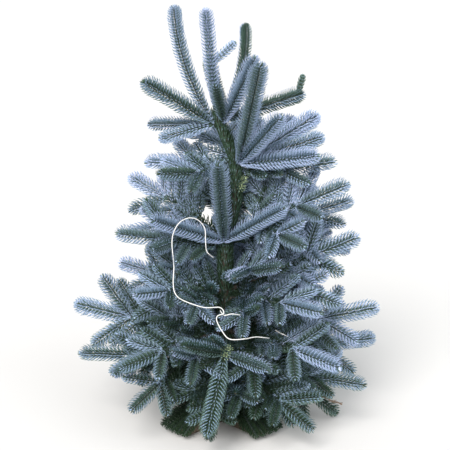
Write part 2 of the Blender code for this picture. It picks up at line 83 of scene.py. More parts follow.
# the growth rule: spans that the dice choose in, angles in degrees
YEARLY = 0.15  # how much longer each year's growth is than the one before
VARIED = (0.94, 1.10)  # length of a year's growth, as a part of the mean one
WAVER = (-4, 4)  # change of heading from year to year
SPREAD = (42, 56)  # between a twig and the one it leaves
LIFT = (-8, 16)  # of a side twig above the flat of its spray
SHORTER = (0.78, 0.92)  # length of a side twig's growth, as a part of its bearer's
INNER_PLACE = (0.40, 0.60)  # where side shoots sit along a bough's second year
INNER_SPREAD = (46, 60)
INNER_LIFT = (0, 24)
INNER_SHORTER = (0.78, 0.95)

# boughs: mass, height on the trunk, bearing, rise, reach, years, lift at each joint, roll of the flat spray
LIMBED = (
    ("low_front", 0.130, 262, -10, 0.25, 3, -6, 0),
    ("low_front_right", 0.150, 311, -9, 0.31, 3, -5, 20),
    ("low_right", 0.130, 343, 4, 0.32, 3, -5, 25),
    ("low_far_right", 0.152, 14, 4, 0.38, 3, -5, 55),
    ("low_back", 0.134, 66, 0, 0.33, 3, -8, 0),
    ("low_back_left", 0.150, 130, 0, 0.32, 3, -8, 0),
    ("low_left", 0.132, 191, 14, 0.345, 3, -5, -28),
    ("lower_front", 0.206, 270, 8, 0.35, 2, -58, -14),
    ("lower_front_right", 0.229, 318, 5, 0.32, 3, -5, 30),
    ("lower_right", 0.211, 2, 11, 0.365, 3, -3, 60),
    ("lower_back", 0.208, 80, 10, 0.35, 3, -6, 0),
    ("lower_back_left", 0.226, 140, 10, 0.36, 3, -6, -10),
    ("lower_left", 0.208, 183, 14, 0.366, 3, -4, -78),
    ("lower_front_left", 0.228, 222, 2, 0.30, 3, -5, -35),
    ("middle_front_right", 0.311, 312, 14, 0.30, 3, -4, 30),
    ("middle_right", 0.330, 350, 26, 0.345, 3, -4, 68),
    ("middle_back_right", 0.314, 42, 23, 0.36, 3, -4, 10),
    ("middle_back", 0.328, 100, 14, 0.33, 3, -4, -5),
    ("middle_left", 0.312, 170, 19, 0.29, 3, -6, -50),
    ("middle_front_left", 0.330, 222, 14, 0.27, 3, -4, -35),
)
UNLIMBED = (
    ("middle_front", 0.352, 302, 28, 0.235, 2, -14, 25),
    ("upper_right", 0.456, 345, 31, 0.33, 3, -3, 40),
    ("upper_back_right", 0.444, 20, 18, 0.335, 3, -5, 25),
    ("upper_back", 0.458, 88, 36, 0.29, 3, -3, 0),
    ("upper_left", 0.464, 156, 29, 0.285, 3, -3, -40),
    ("upper_low_left", 0.438, 200, 14, 0.275, 2, -3, -30),
    ("crown_low_right", 0.622, 357, 6, 0.215, 2, 0, 20),
    ("crown_back_right", 0.646, 50, 20, 0.23, 2, 0, 10),
    ("crown_back_left", 0.640, 110, 24, 0.23, 2, 0, 0),
    ("crown_left", 0.650, 168, -2, 0.20, 2, 0, -20),
    ("crown_low_left", 0.628, 213, 4, 0.21, 2, 0, -30),
)
# single shoots of the last summer: mass, height, bearing, rise, length, half width, sideways bow
YOUNG = (
    ("upper_front", 0.450, 262, 62, 0.245, 0.0235, 0),
    ("upper_front", 0.450, 322, 34, 0.205, 0.0210, 0),
    ("upper_front", 0.450, 212, 24, 0.215, 0.0215, 0),
    ("crown_front", 0.640, 295, 64, 0.280, 0.0245, 0),
    ("crown_front", 0.640, 312, 43, 0.200, 0.0230, 0),
    ("crown_front", 0.640, 336, 12, 0.205, 0.0235, 0),
    ("crown_front", 0.640, 8, 31, 0.222, 0.0235, 0),
    ("crown_front", 0.640, 355, 20, 0.212, 0.0205, 0),
    ("top_left", 0.734, 198, 32, 0.212, 0.0225, 0),
    ("top_left", 0.734, 165, 0, 0.172, 0.0185, 0),
    ("top_left", 0.734, 185, -10, 0.140, 0.0170, 0),
    ("top_left", 0.734, 184, 69, 0.295, 0.0175, -0.019),
    ("top_back", 0.742, 45, 68, 0.240, 0.0150, 0.016),
    ("top_back", 0.742, 30, 13, 0.238, 0.0220, 0),
    ("top_back", 0.742, 100, 40, 0.200, 0.0190, 0),
    ("top_front", 0.738, 315, 56, 0.200, 0.0205, 0),
    ("top_front", 0.738, 352, 64, 0.135, 0.0160, 0),
    ("top_front", 0.738, 262, 58, 0.120, 0.0165, 0),
)
LEADER_LEAN = (-0.09, 0.0, 1.0)
LEADER_LENGTH = 0.232
LEADER_WIDTH = 0.0172
# side shoots up a young one: mass, which of its shoots, place along it, bearing, rise, length, half width
SIDE_SHOOTS = (
    ("leader", 0, 0.44, 20, 40, 0.075, 0.0105),
    ("top_back", 1, 0.94, 15, 74, 0.050, 0.0080),
)

# ---- what the scene adds: finer twigs, needles, bark, buds, twine

# seeds of the dice: a bough has its place in the list, a mass of foliage its own
SEEDS = {"finer": 41, "back": 59, "foot": 53, "tints": 7, "old": 900}
LIMB_AGE = 3
FLOOR = 0.003  # nothing hangs lower than this
HANG = 0.6  # how far a brush hangs below its stem, in half widths
SWINGS = (0, 13, 26, 39)  # how far a low shoot may be raised to clear it
FINE_PLACES = ((0.18, 0.34), (0.64, 0.82))  # finer twigs along a stem of an older year
FINE_SHORTER = (0.56, 0.92)
FINE_KEPT = 0.9  # part of the finer twigs that live
FINE_WIDTH = 0.9
OLD_WIDTH = 0.0165
# twigs along each limb: how many, places, lengths, spreads, lifts, half width, age
SHADED = (4, (0.30, 0.95), (0.050, 0.095), (48, 80), (-40, 20), OLD_WIDTH, 2)
HANGING = (9, (0.10, 1.0), (0.060, 0.120), (10, 75), (-88, -40), OLD_WIDTH, 2)
LIT = (3, (0.30, 0.90), (0.060, 0.100), (30, 62), (8, 48), 0.0175, 0)
# young twigs from the trunk's back: how many, heights, bearings, rises, lengths
BACK_TWIGS = (16, (0.28, 0.62), (22, 160), (2, 38), (0.085, 0.135))
# old twigs round the trunk's foot: how many, heights, rises, lengths, turn from one to the next
FOOT_TWIGS = (26, (0.070, 0.180), (-46, -12), (0.105, 0.185), 137.5)
# old twigs over the ends of the stand's boards: height, rise, length, turns from each end's bearing
OVER_BOARDS = (0.100, -27.0, 0.190, (-17, -10, -3, 4, 11))
BOARD_ENDS = (45, 135, 225, 315)
# lines of sight that show sky: x and height in the trunk's plane, radius
SKY_GAPS = ((-0.0324, 0.529, 0.004), (-0.157, 0.549, 0.003))
STUB_WIDTH = 0.0150
STUB_SUNK = 0.8  # where its needles start, in radii of the trunk
# stunted yellow-green shoots: mass, height on the trunk or None for the limb's end, bearing, rise
FRESH_SHOOTS = (
    ("crown_front", 0.598, 325, 30),
    ("crown_front", 0.590, 300, 15),
    ("lower_front", None, 236, 40),
    ("lower_front", None, 305, 52),
    ("lower_front", None, 276, 20),
)
FRESH_LENGTH = 0.024
FRESH_WIDTH = 0.0130

# rows of needles by the age of their stem: distance between them, needles in one, length of a needle
ROWS = {
    0: (0.0080, 11, 1.0),
    1: (0.0083, 11, 0.95),
    2: (0.0086, 11, 0.9),
    LIMB_AGE: (0.0090, 11, 0.85),
}
# the two coats: part of the needles in a row, part of the reach, tints greener and darker as painted shade,
# rows further on
# the inner coat is painted shade: darker needles that show in the gaps between the outer ones
INNER_SHADE_COAT = (0.5, 0.55, 4, 0.5)
OUTER = (1.0, 1.0, 0, 0.0)
# kinds of brush: reach above and below the stem as a part of that beside it, degrees from straight up to
# the highest needles (below zero they close over the stem) and to the lowest, how much they face up and
# out, and needles in a row and distance between rows as parts of the usual
FLAT = (0.90, 0.62, 5.0, 142.0, 0.75, 0.60, 1.0, 1.0)
ROUND = (1.00, 0.92, -8.0, 176.0, 0.75, 0.65, 1.25, 0.9)
FRESH_BRUSH = (1.00, 0.99, 8.0, 180.0, 0.15, 1.00, 1.0, 1.0)
FACING = (0.75, 0.65)  # how far outward and up young shoots turn their upper side
TURNED_BACK = 0.2  # a heading that goes back further than this turns it to the back
NEEDLE_STRETCH = 1.32  # length of a needle, in half widths of the brush
NEEDLE_LENGTHS = (0.0190, 0.0340)
BRUSH_SPARE = 1.12  # reach of the needles, in half widths of the source's brushes
AGE_SHARE = 0.1  # part of it that shrinks with the stem's age
NEEDLE_HALF_WIDTH = 0.00130
INNER_HALF_WIDTH = 0.00190
NEEDLE_RIDGE = 0.9  # height of a needle's ridge, in half widths of the needle
NEEDLE_BELLY = 0.70  # where along it a needle is widest
NEEDLE_SHADE_LINE = 0.20  # where its ridge is highest, and where the painted shade of its root part ends
NEEDLE_BULGE = 0.10  # how far it bows out, as a part of its length
BULGE_BACK = 0.6  # and how far back, as a part of that
BELLY_BULGE = 0.8  # part of the bow where it is widest
NEEDLE_CURL = 0.16  # how far side needles curl up, as a part of their reach
ROWS_TO_TIP = 1.2  # above 1, rows draw closer towards the tip
ROW_TURN = 0.3  # how far a row is turned, as a part of the angle between its needles
ANGLE_VARIES = 4  # how far a needle is turned out of its place, in degrees
FOOT_VARIES = 0.05  # and moved along the stem, in rows
REACH_VARIES = (0.93, 1.05)
BARE_FOOT = 0.001  # bare length at a stem's foot
BARE_END = 0.0005  # and at its end
ROOTED = 0.6  # where needles start, in radii of the stem
TOP_AHEAD = 0.5  # how far the highest needles lean forward, as a part of those beside the stem
LEAST_AHEAD = 0.4  # least lean forward, as a part of a needle's length
SWELL_ROOT = 0.42  # reach at the foot of a shoot, as a part of the full one
SWELL_RATE = 2.3
TIP_OVER = 0.50  # how far needles pass a young stem's end, in half widths
OLD_TIP_OVER = 0.25
TIP_ROUND = 0.965  # how far the tip is rounded: at 1 its last needles would have no reach
THINNING = 1.7  # a needle's chance to grow is this times its reach in half widths
THINNEST = 0.25  # but no less than this
BUD_RADIUS = 0.0019
BUD_LENGTH = 0.0050
BUD_BACK = 0.001  # how far behind the stem's end it starts
BUD_PROFILE = (0.14, 0.94)  # its radius follows a sine between these parts of a half turn
STEM_RADII = {0: 0.0024, 1: 0.0026, 2: 0.0032, LIMB_AGE: 0.0040}
STEM_TAPER = (1.15, 0.8)
STEM_SUNK = -0.02  # where a stem starts inside its bearer, in lengths
TRUNK_NEEDLES = (0.215, 0.765)  # heights between which the trunk bears rings of needles
TRUNK_RING = 0.0062  # distance between them
TRUNK_COUNT = 22
TRUNK_OUT = 0.0115
TRUNK_UP = 0.0200
TRUNK_TURN = 0.16  # how far each is turned out of its place, in radians
TRUNK_VARIES = (0.85, 1.15)
TRUNK_ROOTED = 0.9
TRUNK_TINTS = (5, 6, 4, 6)  # ring after ring
LIMB_BARE = 0.10  # part of a limb that has dropped its needles
LIMB_TINT = 5
MOST_TRIANGLES = 188000  # in one piece

# needle colours, from this summer's bloom to old wood, and a dark one for the painted shade under the
# needles
TINTS = {
    "silver": (187, 198, 229),
    "frost": (171, 187, 217),
    "pale_blue": (152, 171, 200),
    "blue_grey": (131, 153, 174),
    "slate": (107, 129, 129),
    "sage": (85, 107, 95),
    "green": (60, 82, 62),
    "old": (42, 62, 40),
    "shaded_under": (54, 78, 78),
    "fresh": (150, 166, 124),
}
# the tint under the needles is painted shade on their undersides
SHADED_UNDERSIDE, FRESH, OLD = (list(TINTS).index(name) for name in ("shaded_under", "fresh", "old"))
AGE_TINT = {0: 0.4, 1: 2.8, 2: 5.0, LIMB_AGE: 6.5}  # middle tint of each age at the top of the tree
LOW_SHADE_TINT = 3.0  # and how many tints greener and darker it is at the foot: painted shade of the lower crown
SHADE_TINT = 2.3  # and near the trunk, inside this part of the crown's radius
SHADED_PART = 0.95
CROWN_RADIUS = 0.42
CROWN_TOP = 1.05
CROWN_LEAST = 0.05
GREEN_TO = 0.02  # greenest at this height, and as at the top from so much higher on
GREEN_OVER = 0.45
TINT_VARIES = 1.2  # how far a shoot's tint is drawn from the middle one
YOUNG_TINT = 4.4  # no shoot of this summer is greener
# how many tints greener some masses are; top_back's is painted shade of the top's shaded back
MASS_TINT = {"top_back": 2.6, "top_left": 0.8, "upper_front": -0.8, "lower_front": 0.8}


# ---- the growth rule


def unit(vector):
    return vector / np.linalg.norm(vector)


def turned(vector, about, degrees):
    """The vector turned round a unit axis."""
    angle = math.radians(degrees)
    across = np.cross(about, vector)
    along = about * (about @ vector)
    return vector * math.cos(angle) + across * math.sin(angle) + along * (1 - math.cos(angle))


def drawn(dice, *spans):
    """A number from each span, in turn."""
    return [dice.uniform(*span) for span in spans]


def heading_of(bearing, rise):
    b, r = math.radians(bearing), math.radians(rise)
    return np.array([math.cos(r) * math.cos(b), math.cos(r) * math.sin(b), math.sin(r)])


def trunk_at(height):
    heights, places, radii = zip(*TRUNK)
    centre = np.array([np.interp(height, heights, places), 0.0, height])
    return centre, float(np.interp(height, heights, radii))


def stub_heading(heading):
    """The heading of a stem that leaves the trunk, levelled out where its shoots rise steeply."""
    level = math.hypot(heading[0], heading[1])
    rise = min(math.degrees(math.atan2(heading[2], level)), STUB_RISE)
    return heading_of(math.degrees(math.atan2(heading[1], heading[0])), rise)


def brush_width(length, height):
    """Half width of a side shoot's brush: longer shoots and higher ones bear longer needles."""
    least, greatest = BRUSH_WIDTHS
    shortest, widening = BRUSH_WIDENS
    plump = PLUMP + PLUMP_RISE * height
    return plump * min(greatest, max(least, least + widening * (length - shortest)))


def splayed(heading, upward, spread, lift):
    """The heading of a side twig: spread aside in the flat of its spray, then lifted out of it."""
    heading = turned(heading, upward, spread)
    return turned(heading, unit(np.cross(heading, upward)), lift)


class Shoot:
    """One summer's growth: a stem from base to tip, with its brush lying flat across upward."""

    def __init__(self, mass, base, tip, upward, age, width, bow=0.0, brush=FLAT):
        self.mass, self.base, self.tip, self.upward = mass, base, tip, upward
        self.age, self.width, self.bow, self.brush = age, width, bow, brush

    def length(self):
        return float(np.linalg.norm(self.tip - self.base))

    def stem(self, parts):
        """Places on the stem, bowed sideways where it is, at parts of its length."""
        parts = parts[:, None]
        bend = 4 * parts * (1 - parts) * self.bow * RIGHT
        return self.base + parts * (self.tip - self.base) + bend

    def branched(self, place, spread, lift, length, width, age=0):
        """A side shoot that leaves this one part of the way along it."""
        way = self.tip - self.base
        heading = splayed(unit(way), self.upward, spread, lift)
        foot = self.base + way * place
        return Shoot(self.mass, foot, foot + heading * length, self.upward, age, width)

    def raised(self, degrees):
        """The same shoot raised about its root, across its flat side."""
        way = self.tip - self.base
        way = turned(way, unit(np.cross(way, self.upward)), degrees)
        return Shoot(self.mass, self.base, self.base + way, self.upward, self.age, self.width)


def inner_shoot(bearer, heading, length, side, step, dice):
    """A side shoot along the second year of a bough's main stem."""
    foot = bearer.base + heading * length * dice.uniform(*INNER_PLACE)
    spread = side * dice.uniform(*INNER_SPREAD)
    spread = splayed(heading, bearer.upward, spread, dice.uniform(*INNER_LIFT))
    short = step * dice.uniform(*INNER_SHORTER)
    width = brush_width(short, foot[2])
    return Shoot(bearer.mass, foot, foot + spread * short, bearer.upward, 0, width)


def grow(shoots, mass, start, heading, upward, years, step, lift, dice, main=True):
    """A twig of so many years, with two side twigs a year younger at every older tip.

    The main stem of a bough has two more side shoots along its second year.
    """
    for age in reversed(range(years)):
        length = step * dice.uniform(*VARIED) * (1 + YEARLY * ((years - 1) / 2 - age))
        tip = start + heading * length
        shoot = Shoot(mass, start, tip, upward, age, brush_width(length, tip[2]))
        shoots.append(shoot)
        if main and age == 1 and years > 2:
            for side in (-1, 1):
                shoots.append(inner_shoot(shoot, heading, length, side, step, dice))
        if age:
            for side in (-1, 1):
                spread = side * dice.uniform(*SPREAD)
                spread = splayed(heading, upward, spread, dice.uniform(*LIFT))
                shorter = step * dice.uniform(*SHORTER)
                grow(shoots, mass, tip, spread, upward, age, shorter, lift, dice, False)
        across = unit(np.cross(heading, upward))
        heading = turned(heading, across, lift + dice.uniform(*WAVER))
        upward = unit(np.cross(across, heading))
        start = tip


def parted_side(heading):
    """The upper side of a round brush: the one towards the light, out of the tree."""
    outward = FRONT if heading[1] < TURNED_BACK else -FRONT
    outward = outward * FACING[0] + UP * FACING[1]
    return unit(outward - heading * (outward @ heading))


def young_shoots():
    """The single shoots of the last summer, and the stubs that bear them."""
    shoots, stubs = [], []
    for mass in dict.fromkeys(row[0] for row in YOUNG):
        rows = [row for row in YOUNG if row[0] == mass]
        centre, radius = trunk_at(rows[0][1])
        node = centre + stub_heading(heading_of(rows[0][2], rows[0][3])) * (radius + STUB)
        stubs.append((mass, centre, node))
        for _, _, bearing, rise, length, width, bow in rows:
            heading = heading_of(bearing, rise)
            tip = centre + heading * length
            shoots.append(Shoot(mass, node, tip, parted_side(heading), 0, width, bow, ROUND))
    top, lean = trunk_at(TRUNK[-1][0])[0], unit(np.array(LEADER_LEAN))
    node = top + UP * STUB
    stubs.append(("leader", top, node))
    shoots.append(Shoot("leader", node, top + lean * LEADER_LENGTH, FRONT, 0, LEADER_WIDTH, brush=ROUND))
    for mass, which, place, bearing, rise, length, width in SIDE_SHOOTS:
        bearer = [shoot for shoot in shoots if shoot.mass == mass][which]
        foot = bearer.base + (bearer.tip - bearer.base) * place
        tip = foot + heading_of(bearing, rise) * length
        shoots.append(Shoot(mass, foot, tip, FRONT, 0, width, brush=ROUND))
    return shoots, stubs


def grown_tree():
    """All shoots, the limbs as shoots of their own, and the stubs as (mass, foot, node)."""
    shoots, limbs, stubs = [], [], []
    for seed, (mass, height, bearing, rise, reach, years, lift, roll) in enumerate(LIMBED + UNLIMBED):
        dice = random.Random(seed)
        centre, radius = trunk_at(height)
        heading = heading_of(bearing, rise)
        across = unit(np.cross(heading, UP))
        upward = turned(unit(np.cross(across, heading)), heading, roll)
        own = []
        grow(own, mass, centre, heading, upward, years, reach / years, lift, dice)
        if seed < len(LIMBED):
            limb = own.pop(0)
            limb.age = LIMB_AGE
            limbs.append(limb)
        else:
            own[0].base = centre + stub_heading(heading) * (radius + STUB)
            stubs.append((mass, centre, own[0].base))
        shoots += own
    young, young_stubs = young_shoots()
    return shoots + young, limbs, stubs + young_stubs


def finer_twigs(shoots, dice):
    """Short twigs along the stems of the older years."""
    made = []
    for shoot in shoots:
        for place in FINE_PLACES if shoot.age else ():
            for side in (-1, 1):
                at, spread, lift = drawn(dice, place, INNER_SPREAD, INNER_LIFT)
                length = shoot.length() * dice.uniform(*FINE_SHORTER)
                if dice.random() < FINE_KEPT:
                    width = FINE_WIDTH * brush_width(length, shoot.tip[2])
                    made.append(shoot.branched(at, side * spread, lift, length, width))
    return made


def limb_twigs(limbs, dice):
    """Twigs along the limbs, on one side and the other in turn."""
    made = []
    for limb in limbs:
        rows = (SHADED, HANGING, LIT) if limb.mass.startswith("low_") else (SHADED, LIT)
        for number, places, lengths, spreads, lifts, width, age in rows:
            for count in range(number):
                at, length, spread, lift = drawn(dice, places, lengths, spreads, lifts)
                side = (-1, 1)[count % 2]
                made.append(limb.branched(at, side * spread, lift, length, width, age))
    return made


def trunk_twig(mass, height, heading, length, age):
    """A twig straight from the trunk's side."""
    centre, radius = trunk_at(height)
    upward = unit(UP - heading * heading[2])
    return Shoot(mass, centre + heading * radius, centre + heading * length, upward, age, OLD_WIDTH)


def back_twigs():
    """Young twigs that fill the tree's back between its whorls."""
    number, heights, bearings, rises, lengths = BACK_TWIGS
    made = []
    dice = random.Random(SEEDS["back"])
    for count in range(number):
        height = heights[0] + (heights[1] - heights[0]) * (count + dice.random()) / number
        bearing, rise, length = drawn(dice, bearings, rises, lengths)
        made.append(trunk_twig("upper_back", height, heading_of(bearing, rise), length, 0))
    return made


def foot_twigs():
    """Old drooping twigs that spring from the trunk below the lowest boughs."""
    number, heights, rises, lengths, turn = FOOT_TWIGS
    made = []
    dice = random.Random(SEEDS["foot"])
    for count in range(number):
        height, rise, length = drawn(dice, heights, rises, lengths)
        heading = heading_of(turn * count, rise)
        made.append(trunk_twig("low_front", height, heading, length, 2))
    height, rise, length, turns = OVER_BOARDS
    for bearing in BOARD_ENDS:
        for turn in turns:
            made.append(trunk_twig("low_front", height, heading_of(bearing + turn, rise), length, 2))
    return made


def leaves_sky(twig):
    """Whether a twig stays clear of every line of sight that shows sky."""
    eye = np.array(camera_place())
    ways = twig.stem(np.linspace(0, 1, 9)) - eye
    for x, height, radius in SKY_GAPS:
        sight = unit(np.array([x, 0.0, height]) - eye)
        if np.linalg.norm(np.cross(ways, sight), axis=1).min() < radius + twig.width:
            return False
    return True


def added_twigs(shoots, limbs):
    """The twigs that the source leaves out, wherever they leave the gaps open to the sky."""
    dice = random.Random(SEEDS["finer"])
    made = finer_twigs(shoots, dice) + limb_twigs(limbs, dice) + back_twigs()
    return [twig for twig in made if leaves_sky(twig)]


def short_shoots(stubs, limbs):
    """The needles on the stubs that bear a mass on the trunk, and the stunted shoots at some nodes."""
    ends = {limb.mass: (limb.tip, LIMB_TIP) for limb in limbs}
    made = []
    for mass, centre, node in stubs:
        foot = centre + unit(node - centre) * STUB_SUNK * trunk_at(centre[2])[1]
        made.append(Shoot(mass, foot, node, FRONT, 1, STUB_WIDTH, brush=ROUND))
    for mass, height, bearing, rise in FRESH_SHOOTS:
        centre, radius = trunk_at(height) if height else ends[mass]
        heading = heading_of(bearing, rise)
        foot, tip = centre + heading * radius, centre + heading * (radius + FRESH_LENGTH)
        made.append(Shoot(mass, foot, tip, FRONT, 0, FRESH_WIDTH, brush=FRESH_BRUSH))
    return made


def clear_of_floor(shoots):
    """The shoots that hang clear of the floor, the young ones raised for it where they need it."""
    kept = []
    for shoot in shoots:
        swings = SWINGS if shoot.age == 0 else SWINGS[:1]
        for tried in (shoot.raised(swing) if swing else shoot for swing in swings):
            if min(tried.base[2], tried.tip[2]) - HANG * tried.width > FLOOR:
                kept.append(tried)
                break
    return kept


# ---- meshes made from arrays


def placed(name, data):
    """A new object in the scene."""
    made = bpy.data.objects.new(name, data)
    bpy.context.scene.collection.objects.link(made)
    return made


class Pile:
    """Many closed shapes made of triangles, gathered to become one mesh."""

    def __init__(self):
        self.points, self.faces, self.paints, self.count = [], [], [], 0

    def add(self, points, faces, paints=0):
        self.points.append(points)
        self.faces.append(faces + self.count)
        self.paints.append(np.broadcast_to(paints, len(faces)))
        self.count += len(points)

    def triangles(self):
        return sum(len(faces) for faces in self.faces)

    def piece(self, name, materials, slot=None, replaced=(), smooth=False):
        points, faces = np.concatenate(self.points), np.concatenate(self.faces)
        mesh = bpy.data.meshes.new(name)
        mesh.vertices.add(len(points))
        mesh.vertices.foreach_set("co", points.astype(np.float32).ravel())
        mesh.loops.add(faces.size)
        mesh.loops.foreach_set("vertex_index", faces.astype(np.int32).ravel())
        mesh.polygons.add(len(faces))
        mesh.polygons.foreach_set("loop_start", np.arange(0, faces.size, 3, dtype=np.int32))
        mesh.polygons.foreach_set("material_index", np.concatenate(self.paints).astype(np.int32))
        mesh.polygons.foreach_set("use_smooth", np.full(len(faces), smooth))
        mesh.update(calc_edges=True)
        for paint in materials:
            mesh.materials.append(paint)
        made = placed(name, mesh)
        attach(made, BODY)
        if replaced:
            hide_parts(*replaced)


UPRIGHT = 0.2  # a tube with less slant than this, as a sine, counts as upright


def tube(centres, radii, sides):
    """A closed tube along a line of centres, with a radius for each ring or for each corner."""
    centres = np.asarray(centres, float)
    radii = np.asarray(radii, float)
    radii = radii[:, None] * np.ones(sides) if radii.ndim == 1 else radii
    alongs = np.gradient(centres, axis=0)
    turns = 2 * np.pi * np.arange(sides) / sides
    across = np.cross(alongs[0], UP)
    if np.linalg.norm(across) < UPRIGHT * np.linalg.norm(alongs[0]):
        across = np.cross(alongs[0], RIGHT)
    rings = []
    for centre, along, reach in zip(centres, alongs, radii):
        along = unit(along)
        across = unit(across - along * (across @ along))
        other = np.cross(along, across)
        outs = np.outer(np.cos(turns), across) + np.outer(np.sin(turns), other)
        rings.append(centre + outs * reach[:, None])
    points = np.concatenate(rings + [centres[:1], centres[-1:]])
    return points, tube_faces(len(centres) - 1, sides)


def tube_faces(last, sides):
    """The triangles of a tube whose rings are counted from 0 to last, and of its two ends."""
    rim = np.arange(sides)
    beside = (rim + 1) % sides
    rings = np.arange(last)[:, None] * sides
    low, after = (rings + rim).ravel(), (rings + beside).ravel()
    foot_centre = np.full(sides, (last + 1) * sides)
    return np.concatenate([
        np.stack([low, after, after + sides], 1),
        np.stack([low, after + sides, low + sides], 1),
        np.stack([foot_centre, beside, rim], 1),
        np.stack([foot_centre + 1, last * sides + rim, last * sides + beside], 1),
    ])


# a needle's faces: two in its own tint, then two behind them and two underneath, both pairs darker with
# painted shade
BLADE_FACES = np.array([(1, 3, 4), (2, 4, 3), (0, 3, 1), (0, 2, 3), (0, 1, 2), (1, 4, 2)])
SLIP_FACES = np.array([(0, 2, 1), (1, 2, 3), (0, 1, 3), (0, 3, 2)])
ROOT_SHADE_STEPS = 3  # how many tints greener and darker a needle is behind its ridge: painted shade
UNDER_SHADE_STEPS = 2  # and under its tip, also painted shade
BENEATH_SHADE_STEPS = 1  # and all over, if it points down: painted shade


def units(vectors):
    return vectors / np.linalg.norm(vectors, axis=-1, keepdims=True)


def shade_painted(tint, steps):
    """A tint, or an array of them, some steps greener and darker, as painted shade. Fresh needles keep
    theirs.
    """
    return np.where(np.equal(tint, FRESH), FRESH, np.minimum(OLD, tint + steps))


def pile_needles(pile, corners, faces, tints):
    """Needles with these corners, faces between them and a tint for each face."""
    starts = len(corners) * np.arange(len(corners[0]))[:, None, None]
    points = np.stack(corners, 1).reshape(-1, 3)
    pile.add(points, (starts + faces).reshape(-1, 3), np.stack(tints, 1).ravel())


def blades(pile, roots, tips, outs, along, facing, tint):
    """Needles from roots to tips: ridged blades, widest near the tip, with painted shade on the root part
    and underneath.
    """
    ways = tips - roots
    lengths = np.linalg.norm(ways, axis=1, keepdims=True)
    bow = NEEDLE_BULGE * lengths * (outs - BULGE_BACK * along)
    bellies = roots + NEEDLE_BELLY * ways + BELLY_BULGE * bow
    wides = units(np.cross(ways, units(facing)))
    ridges = units(np.cross(wides, ways)) * NEEDLE_HALF_WIDTH * NEEDLE_RIDGE
    ridges = roots + NEEDLE_SHADE_LINE * ways + bow + ridges
    wides = wides * NEEDLE_HALF_WIDTH
    tint = np.broadcast_to(tint, len(roots))
    # painted shade: the root faces and the faces under the needle get greener, darker tints
    root, shaded_under = shade_painted(tint, ROOT_SHADE_STEPS), shade_painted(tint, UNDER_SHADE_STEPS)
    tints = [tint, tint, root, root, np.full(len(roots), SHADED_UNDERSIDE), shaded_under]
    pile_needles(pile, [roots, bellies - wides, bellies + wides, ridges, tips], BLADE_FACES, tints)


def slips(pile, roots, tips, facing, tint):
    """Short inner needles from roots to tips: four faces, all of one tint, which the inner coat darkens as
    painted shade.
    """
    ways = tips - roots
    wides = units(np.cross(ways, units(facing)))
    middles = roots + 0.5 * ways + units(np.cross(wides, ways)) * INNER_HALF_WIDTH * NEEDLE_RIDGE
    wides = wides * INNER_HALF_WIDTH
    corners = [roots, middles - wides, middles + wides, tips]
    pile_needles(pile, corners, SLIP_FACES, [tint] * len(SLIP_FACES))


def needle_feet(shoot, length, bare, coat, dice):
    """Row by row, each needle's distance along the stem and its angle from straight up."""
    pitch, around, _ = ROWS[shoot.age]
    share, _, _, shift = coat
    highest, lowest, _, _, crowding, spacing = shoot.brush[2:]
    around = round(around * crowding * share)
    pitch = pitch * spacing
    rows = max(2, round((length - bare) / pitch))
    feet = bare + (length - bare) * (1 - np.linspace(1, 0, rows) ** ROWS_TO_TIP)
    grid = np.meshgrid(np.arange(rows), np.arange(around), indexing="ij")
    row, place = [numbers.ravel() for numbers in grid]
    turn = 2 * (place + 0.5) / around - 1
    angle = np.sign(turn) * (highest + (lowest - highest) * np.abs(turn))
    angle = angle + dice.uniform(-ANGLE_VARIES, ANGLE_VARIES, row.size)
    angle = angle + (ROW_TURN * lowest / around) * dice.uniform(-1, 1, rows)[row]
    foot = feet[row] + pitch * (shift + dice.uniform(-FOOT_VARIES, FOOT_VARIES, row.size))
    return np.clip(foot, bare, length - BARE_END), np.radians(angle)


def needle_ends(shoot, length, foot, angle, coat, dice):
    """Each needle's reach, its end's distance along the stem, and whether it grows."""
    stretch, part = ROWS[shoot.age][2], coat[1]
    above, below = shoot.brush[:2]
    width = BRUSH_SPARE * shoot.width * (1 - AGE_SHARE + AGE_SHARE * stretch)
    full = np.clip(NEEDLE_STRETCH * width, *NEEDLE_LENGTHS) * stretch * part
    over = (OLD_TIP_OVER if shoot.age else TIP_OVER) * width
    rise, sway = np.cos(angle), np.sin(angle)
    depth = np.where(rise > 0, above, below)
    reach = part * width / np.sqrt(sway ** 2 + (rise / depth) ** 2)
    ahead = np.sqrt(np.maximum(full ** 2 - reach ** 2, (LEAST_AHEAD * full) ** 2))
    ahead = ahead * np.maximum(np.abs(sway), TOP_AHEAD)
    late = np.clip((foot - (length - ahead)) / ahead, 0, 1)
    end = foot + (ahead + (over - ahead) * late)
    swell = np.clip(SWELL_ROOT + SWELL_RATE * foot / length, 0, 1)
    round_from = length + over - width
    rounded = np.sqrt(1 - np.clip((end - round_from) / width, 0, TIP_ROUND) ** 2)
    reach = reach * swell * rounded * dice.uniform(*REACH_VARIES, foot.size)
    grows = dice.uniform(0, 1, foot.size) < np.clip(THINNING * reach / width, THINNEST, 1)
    return reach, end, grows


